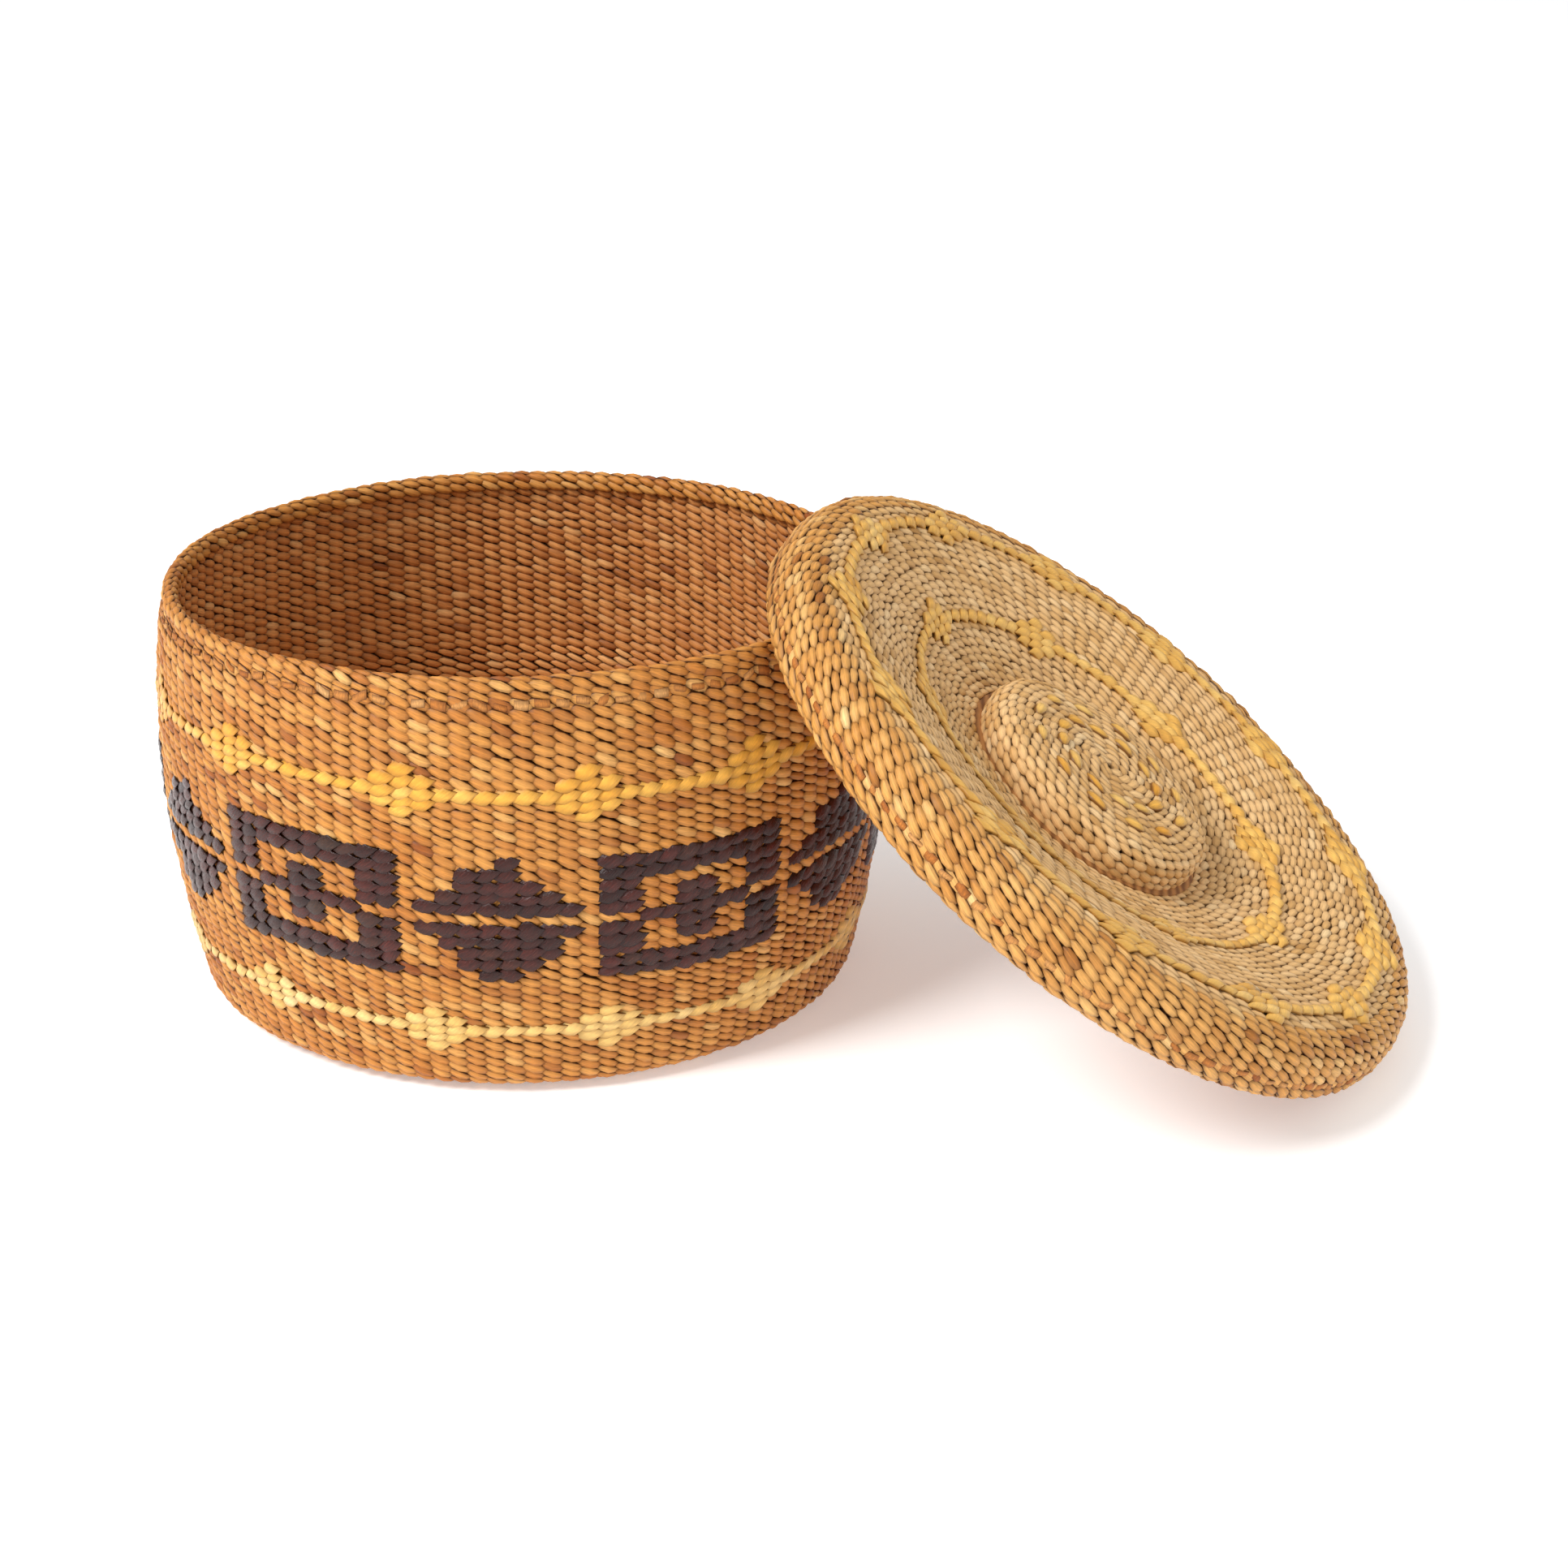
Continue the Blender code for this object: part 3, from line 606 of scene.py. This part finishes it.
def warps(name, face, first, last, body, nodes, bends, place=None):
    """One strip for each warp, along the line from `first` to `last`."""
    middle = (first + last) / 2
    angle = START + 2 * math.pi * (np.arange(WARPS) + 0.5) / WARPS
    same = [np.full(WARPS, value) for value in (middle, 1.0 / WARPS, last - first, 0.0)]
    centre = np.interp(middle, face["s"], face["r"])
    reach = HALF_WARP / (2 * math.pi * centre / WARPS)
    lay(name, STRIP, face, np.stack([angle] + same, 1), ROOT_WARP, body, "root_warp", nodes, reach=reach,
        high=0.5, slant=0, lift=0, thick=0.0003, wild=0, bends=bends, place=place, steady=True,
        grain=(2.0, 12.0))


warps("warps", MIDDLE, 0.020, OUTSIDE["s"][-1] - 0.004, "basket", ["basket_warps"], slack)

# %% [markdown]
# ## Overlay on the wall
#
# Grass tiles lean the other way from the stitches, and each one slips a little over the next. Each
# yellow line is one piece. The dark motifs are three: the boxes, the crosses and the diamonds.

# %% yellow lines
GRASS = dict(reach=0.52, high=0.62, slant=0.22, lift=0.0005, thick=0.0009, sink=-0.5, shear=0.68,
             tilt=0.00040, grain=(7.0, 1.2))
lay("yellow_line_upper", TILE, OUTSIDE, wall_cells[upper_cells], GRASS_YELLOW, "basket", "grass_yellow",
    ["upper_yellow_band"], **GRASS)
lay("yellow_line_lower", TILE, OUTSIDE, wall_cells[lower_cells], GRASS_PALE, "basket", "grass_pale",
    ["lower_yellow_band"], **GRASS)

# %% dark motifs
DARK = dict(GRASS, reach=0.50, high=0.53, wild=1.5)
for name, cells, parts in (("dark_boxes", box_cells, ("dark_box_upper", "dark_box_lower")),
                           ("dark_crosses", cross_cells, ("dark_cross",)),
                           ("dark_diamonds", diamond_cells, ("dark_diamond_upper", "dark_diamond_lower"))):
    lay(name, TILE, OUTSIDE, wall_cells[cells], GRASS_DARK, "basket", "grass_dark",
        [f"{part}_{k}" for part in parts for k in range(1, MOTIFS + 1)], **DARK)

# %% [markdown]
# ## Rim
#
# At the rim the warps are bent over and trimmed, which leaves a row of little rust-brown stubs, and
# five short rows of stitches close over the edge. The edge is a small roll, so its line goes up
# outside, over the top and down inside.

# %% rim
rim_line = [(RIM_R - inward, HEIGHT - below) for inward, below in (
    (0.0002, 0.0062), (0.0, 0.0030), (0.0006, 0.0008), (0.0021, 0.0), (0.0037, 0.0008), (0.0042, 0.0028),
    (0.0040, 0.0058))]
RIM = outline(rim_line, 0.0008)
rim_s = [0.0014, 0.0042, 0.0068, 0.0094, 0.0120]
rim_cells = courses(rim_s, [WARPS] * len(rim_s), START)
lay("rim_braid_stitches", LEAF, RIM, rim_cells, ROOT_TAN, "basket", "root_tan", ["rim_braid"], lift=0.0006,
    thick=0.0008, high=0.64)
# a second row only gives the first its height, and is then dropped
stubs = courses([at_height(0.1064), at_height(0.1088)], [WARPS, WARPS], START)[:WARPS]
STUB = dict(slant=0.05, lift=0.0003, thick=0.0006, sink=-0.6, wild=2.6, grain=(6.0, 1.0))
lay("rim_stubs", TILE, OUTSIDE, stubs, ROOT_RUST, "basket", "root_rust", ["accent_row"], reach=0.36,
    high=0.40, **STUB)

# %% [markdown]
# ## Where the lid stands
#
# The lid leans on the basket's rim. Its slope, its heading and its middle are written here with the
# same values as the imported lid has, and make one matrix. Everything on the lid is laid in the lid's
# own flat position and then carried there by that matrix.

# %% lid place
slope, heading = math.radians(36.8), math.radians(-15.0)
LID_MIDDLE = (0.14803, -0.03967, 0.06017)
down = Vector((math.cos(heading) * math.cos(slope), math.sin(heading) * math.cos(slope), -math.sin(slope)))
up_axis = Vector((math.cos(heading) * math.sin(slope), math.sin(heading) * math.sin(slope), math.cos(slope)))
across = up_axis.cross(down)
LID = Matrix.Translation(LID_MIDDLE) @ Matrix((down, across, up_axis)).transposed().to_4x4()
ON_LID = dict(bends=level, place=LID)
print("lid axis", [round(v, 3) for v in up_axis])

# %% [markdown]
# ## Lid top
#
# The flange has a few rows of large stitches. Over the shoulder they turn into the dish, where the
# rows get closer and the stitches smaller towards the knob. Two yellow rings are counted in, with
# the same stepped crosses as on the wall.


# %% lid rows
def lid_warps_at(r):
    """The lid gains warps as it grows: six at first, and then twelve at a time."""
    for limit, count in ((0.0880, 120), (0.0740, 108), (0.0620, 96), (0.0510, 84), (0.0410, 72),
                         (0.0340, 60)):
        if r > limit:
            return count
    return 54


past_flange = LID_OUT["s"] > 0.02
dish_r, dish_s = LID_OUT["r"][past_flange], LID_OUT["s"][past_flange]
ring_at = [float(np.interp(-r, -dish_r, dish_s)) for r in (OUTER_RING, INNER_RING)]
between = 12               # rows from the outer ring to the inner one
row_gap = (ring_at[1] - ring_at[0]) / between
stub_s = 0.0056            # where the row of stubs lies on the flange
FLANGE_ROW = 0.00255
flange_rows = int(round((ring_at[0] - stub_s) / FLANGE_ROW))
knob_foot = LID_OUT["s"][-1] - 0.0006
foot_rows = int(round((knob_foot - ring_at[1]) / row_gap))
lid_s = [0.0030] + list(np.linspace(stub_s, ring_at[0], flange_rows + 1))
lid_s += [ring_at[0] + row_gap * k for k in range(1, between)]
lid_s += list(np.linspace(ring_at[1], knob_foot, foot_rows + 1))
lid_r = np.interp(lid_s, LID_OUT["s"], LID_OUT["r"])
lid_counts = [lid_warps_at(r) for r in lid_r]
lid_cells = courses(lid_s, lid_counts, math.radians(2))
print("lid rows", len(lid_s), "row gap %.2f mm" % (row_gap * 1000))


# %% lid rings
def ring_chart(centre_row, crosses, first):
    """Which lid stitches the grass covers: the ring's row and its stepped crosses."""
    y = np.abs(lid_cells[:, 4] - centre_row)
    period = 2 * math.pi / crosses
    aside = np.abs((lid_cells[:, 0] - math.radians(first) + period / 2) % period - period / 2)
    off = aside / (2 * math.pi * lid_cells[:, 2])
    return (y == 0) | ((y == 1) & (off < 1.5)) | ((y == 2) & (off < 0.5))


outer_row = int(np.argmin(np.abs(np.array(lid_s) - ring_at[0])))
inner_row = int(np.argmin(np.abs(np.array(lid_s) - ring_at[1])))
outer_ring, inner_ring = ring_chart(outer_row, 13, 7), ring_chart(inner_row, 8, -10)
STUB_ROW = 1
lid_flat = np.where(outer_ring | inner_ring | (lid_cells[:, 4] == STUB_ROW), PRESSED, 1.0)
on_flange = lid_cells[:, 4] < outer_row - 2
lay("lid_flange_stitches", LEAF, LID_OUT, lid_cells[on_flange], ROOT_FLANGE, "lid", "root_dusty",
    ["lid_weft_outer"], scale_thick=lid_flat[on_flange], **ON_LID)
lay("lid_dish_stitches", LEAF, LID_OUT, lid_cells[~on_flange], ROOT_DUSTY, "lid", "root_dusty", lift=0.0005,
    thick=0.0008, slant=0.26, reach=0.74, high=0.64, scale_thick=lid_flat[~on_flange], **ON_LID)
LID_GRASS = dict(GRASS, thick=0.0011, sink=-0.8)
for which, ring in (("outer", outer_ring), ("inner", inner_ring)):
    lay(f"lid_ring_{which}", TILE, LID_OUT, lid_cells[ring], GRASS_LID, "lid", "grass_yellow",
        [f"lid_{which}_yellow_ring"], **LID_GRASS, **ON_LID)

# %% lid edge and stubs
edge_line = [(LID_R - 0.0010, 0.0036), (LID_R - 0.0016, 0.0012), (LID_R - 0.0030, 0.0000),
             (FLANGE_IN + 0.0004, 0.0012), (FLANGE_IN + 0.0002, 0.0030)]
EDGE = outline(edge_line[::-1], 0.0006)
edge_cells = courses([0.0012, 0.0034, 0.0056], [WARPS] * 3, START)
lay("lid_edge_stitches", LEAF, EDGE, edge_cells, ROOT_FLANGE, "lid", "root_tan", ["lid_edge_braid"],
    thick=0.0008, **ON_LID)
lid_stub_cells = courses([stub_s, stub_s + 0.0024], [WARPS, WARPS], START)[:WARPS]
lay("lid_stubs", TILE, LID_OUT, lid_stub_cells, ROOT_RUST, "lid", "root_rust", ["lid_accent_row"], reach=0.34,
    high=0.42, **STUB, **ON_LID)

# %% [markdown]
# ## Lid underside
#
# The underside shows when the lid is lifted. It is plain, browner, and woven like the inside.

# %% lid underside and warps
under_s = np.arange(0.0035, LID_UNDER["s"][-1] - 0.0015, 0.0025)
under_r = np.interp(under_s, LID_UNDER["s"], LID_UNDER["r"])
under_counts = [lid_warps_at(r) if r > 0.034 else warps_at(r) for r in under_r]
under_cells = courses(under_s, under_counts, START)
lay("lid_underside_stitches", SMALL_LEAF, LID_UNDER, under_cells, ROOT_BROWN, "lid", "root_brown",
    ["lid_weft_inner"], **ON_LID)
LID_MID = outline(flange_line + dish_line, CLOTH / 2)
warps("lid_warp_strips", LID_MID, 0.0012, LID_MID["s"][-1], "lid", ["lid_warps"], level, LID)

# %% [markdown]
# ## Knob
#
# The knob is a hollow button, woven on its own warps over a ring of the dish. Two rings of single
# grass stitches fleck its top.

# %% knob
KNOB_ROW, KNOB_STITCH = 0.00262, 0.0041
knob_s = np.arange(0.0010, KNOB["s"][-1] - 0.0012, KNOB_ROW)
knob_r = np.interp(knob_s, KNOB["s"], KNOB["r"])
knob_counts = [max(5, int(round(2 * math.pi * r / KNOB_STITCH))) for r in knob_r]
knob_cells = courses(knob_s, knob_counts, 0.3)
flecks = np.zeros(len(knob_cells), bool)
for ring_r, every in ((0.0235, 3), (0.0160, 2)):
    fleck_row = int(np.argmin(np.abs(knob_r - ring_r)))
    flecks |= (knob_cells[:, 4] == fleck_row) & (np.arange(len(knob_cells)) % every == 0)
lay("knob_stitches", LEAF, KNOB, knob_cells, ROOT_DUSTY, "lid", "root_dusty", ["knob_cap"], lift=0.0004,
    thick=0.0008, slant=0.22, reach=0.76, scale_thick=np.where(flecks, 0.6, 1.0), **ON_LID)
lay("knob_fleck_stitches", LEAF, KNOB, knob_cells[flecks], GRASS_YELLOW, "lid", "grass_yellow",
    ["knob_flecks_outer", "knob_flecks_inner"], lift=0.0005, thick=0.0012, sink=-0.2, slant=0.22,
    reach=0.92, high=0.84, tone_shift=0.15, **ON_LID)

# %% [markdown]
# ## Parts kept as they are
#
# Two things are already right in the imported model: the floor of the hollow knob and the pebbles that
# rattle in it. They only need a finish.

# %% pebbles and knob floor
def two_tone(name, pattern, settings, dark, light, rough):
    """A matt finish between two colours, on a pattern that keeps to the object's own coordinates."""
    mat = bpy.data.materials.new(name)
    mat.use_nodes = True
    place = node(mat, "ShaderNodeTexCoord")
    drawn = node(mat, pattern, {"Vector": place.outputs["Object"]}, settings)
    ramp = node(mat, "ShaderNodeValToRGB", {0: drawn.outputs[0]})
    ramp.color_ramp.elements[0].color = paint(dark)
    ramp.color_ramp.elements[1].color = paint(light)
    shader = mat.node_tree.nodes["Principled BSDF"]
    mat.node_tree.links.new(ramp.outputs[0], shader.inputs["Base Color"])
    shader.inputs["Roughness"].default_value = rough
    return mat


# a water-worn stone, with grains about 1 mm across
STONE = two_tone("river_pebble", "ShaderNodeTexNoise", {"Scale": 900.0, "Detail": 3.0},
                 "#5E5A53", "#A39E93", 0.72)
# woven root seen flat on, in bands 2.6 mm wide, as its rows are
PLAIN = two_tone("root_floor", "ShaderNodeTexWave", {"Scale": 120.0, "Distortion": 3.0, "Detail": 2.0},
                 "#7B4C20", "#B98046", 0.7)
for name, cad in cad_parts.items():
    finish = STONE if name.startswith("rattle_pebble") else PLAIN if name == "knob_floor" else None
    if finish:
        cad.data.materials.clear()
        cad.data.materials.append(finish)
        print("refinished", name)

# %% [markdown]
# ## Floor and light
#
# The floor is one large pale plane. A wide soft light from the upper left, a weaker one from the
# right and a bright plain sky give soft shading with no hard edge.

# %% floor and lights
bm = bmesh.new()
bmesh.ops.create_grid(bm, x_segments=1, y_segments=1, size=6)
bmesh.ops.translate(bm, verts=bm.verts[:], vec=(0, 0, -0.0008))    # just clear of the stitches of the base
floor_mesh = bpy.data.meshes.new("floor")
bm.to_mesh(floor_mesh)
bm.free()
floor = bpy.data.objects.new("floor", floor_mesh)
bpy.context.scene.collection.objects.link(floor)
FLOOR = bpy.data.materials.new("white_paper")
FLOOR.use_nodes = True
# matt white paper, with a little glow of its own that makes its shadows paler
paper = FLOOR.node_tree.nodes["Principled BSDF"].inputs
paper["Base Color"].default_value = paint("#F7F7F7")
paper["Roughness"].default_value = 0.9
paper["Emission Color"].default_value = (1, 1, 1, 1)
paper["Emission Strength"].default_value = 0.32
floor_mesh.materials.append(FLOOR)


def soft_light(name, place, target, size, power):
    """A round soft lamp at `place` that looks at `target`."""
    light = bpy.data.lights.new(name, "AREA")
    light.shape, light.size, light.energy = "DISK", size, power
    obj = bpy.data.objects.new(name, light)
    bpy.context.scene.collection.objects.link(obj)
    away = Vector(place) - Vector(target)
    obj.matrix_world = Matrix.Translation(place) @ away.to_track_quat("Z", "Y").to_matrix().to_4x4()


soft_light("key", (-2.1, -1.5, 2.7), (0.03, 0, 0.06), 1.5, 127.0)
soft_light("fill", (1.8, -2.2, 1.6), (0.06, 0, 0.05), 1.8, 14.0)
world = bpy.data.worlds.new("studio")
bpy.context.scene.world = world
world.use_nodes = True
sky = world.node_tree.nodes["Background"].inputs
sky["Color"].default_value = (1, 1, 1, 1)
sky["Strength"].default_value = 0.55
bpy.context.scene.view_settings.view_transform = "Standard"
print("lights set")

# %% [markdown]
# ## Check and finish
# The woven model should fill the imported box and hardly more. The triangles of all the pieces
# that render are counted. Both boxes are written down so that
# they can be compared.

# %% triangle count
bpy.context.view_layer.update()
shown = [o for o in bpy.data.objects if o.type == "MESH" and not o.hide_render]
print("triangles", sum(len(o.data.polygons) for o in shown))
